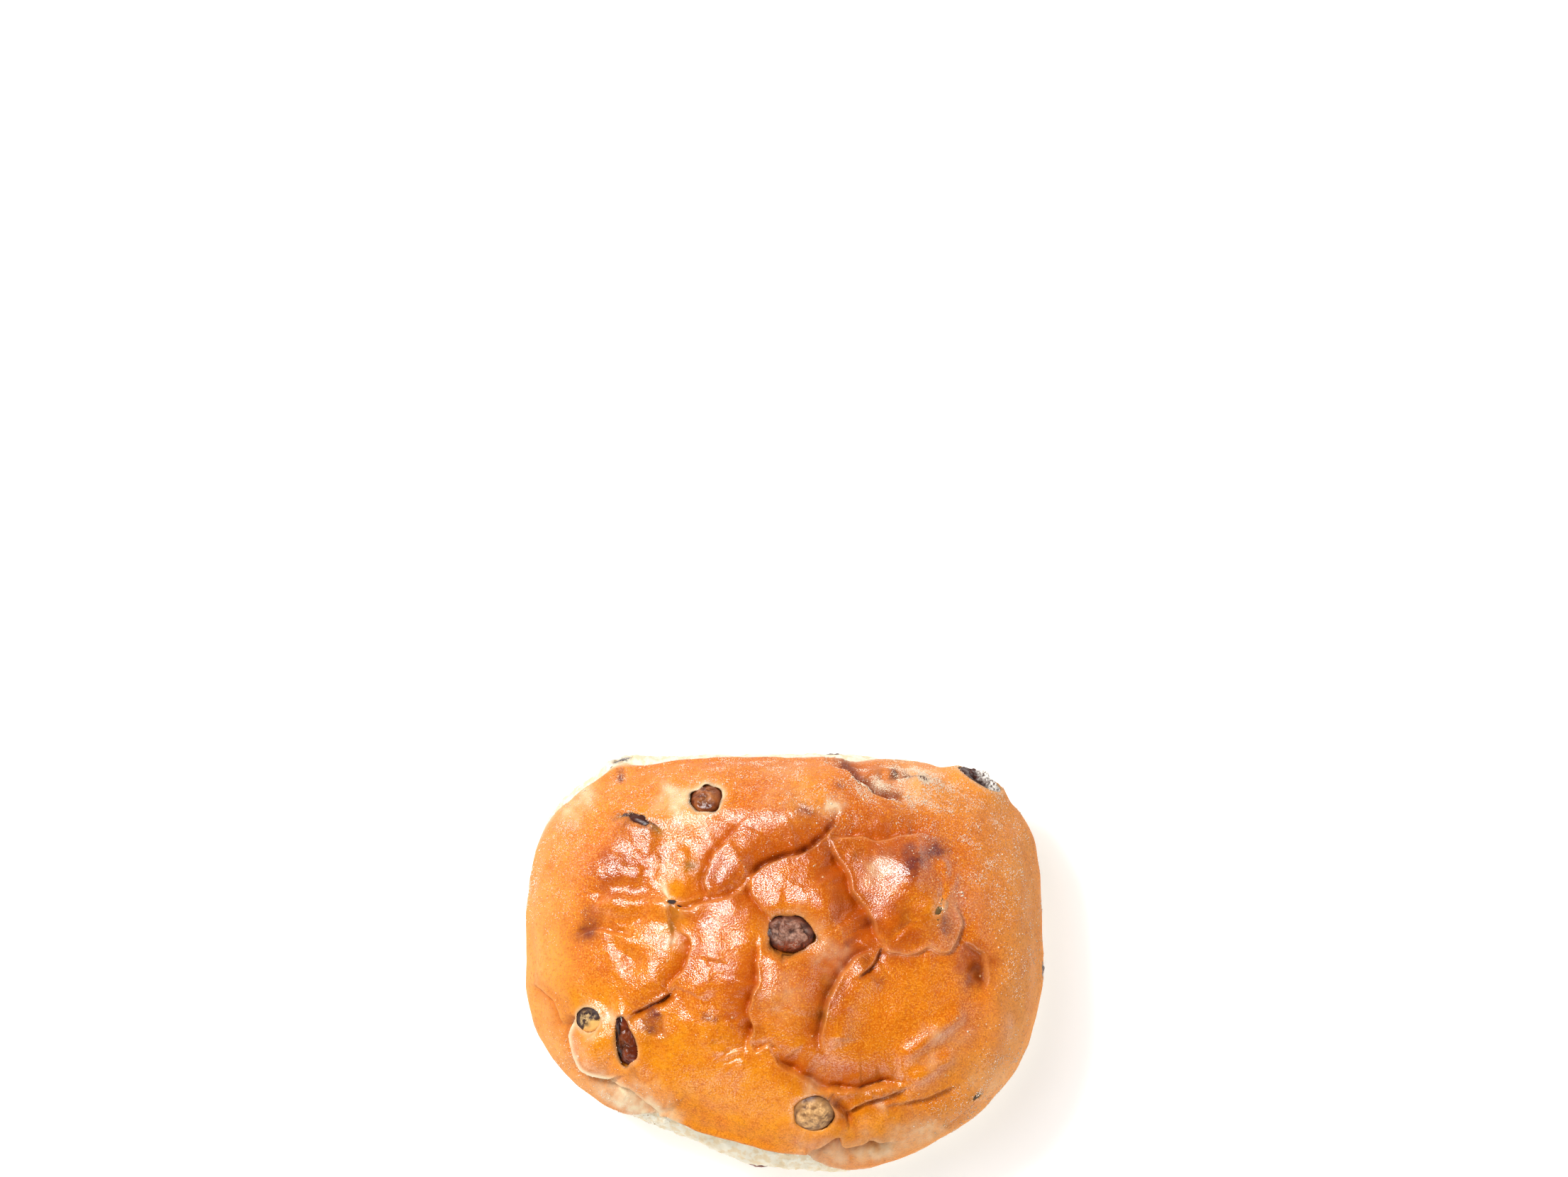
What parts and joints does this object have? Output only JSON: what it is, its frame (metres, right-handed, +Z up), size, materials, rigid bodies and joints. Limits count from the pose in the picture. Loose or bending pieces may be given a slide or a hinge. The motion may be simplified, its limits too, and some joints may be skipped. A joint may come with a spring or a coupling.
{
  "type": "currant bun",
  "caption": "Soft glazed currant bun with a sunken, folded top, a square back and raisins set in its crust, standing on its flat base.",
  "frame": {"origin": "on the flat base, under the middle of the bun's outline", "axes": "+X along the bun's longer side, +Y towards its square back, +Z up out of the glazed top"},
  "size_m": [0.0951, 0.0768, 0.0452],
  "materials": {
    "crust": "glazed golden-brown bread crust, satin on top and matte with flour at the sides",
    "raisin": "dark dried grape skin, wrinkled, satin"
  },
  "bodies": {
    "root": {"dough": "crust", "raisin_middle": "raisin", "raisin_front": "raisin", "currant_back_left": "raisin", "raisin_split": "raisin", "currant_left": "raisin", "raisin_left": "raisin", "raisin_shoulder": "raisin", "raisin_corner": "raisin", "currant_right": "raisin", "currant_lobe_edge": "raisin", "currant_front_right": "raisin", "currant_back_right": "raisin", "raisin_right_flank": "raisin", "currant_left_flank": "raisin", "raisin_front_flank": "raisin", "currant_front_flank": "raisin", "raisin_back_flank": "raisin", "currant_back_flank": "raisin"}
  },
  "joints": []
}
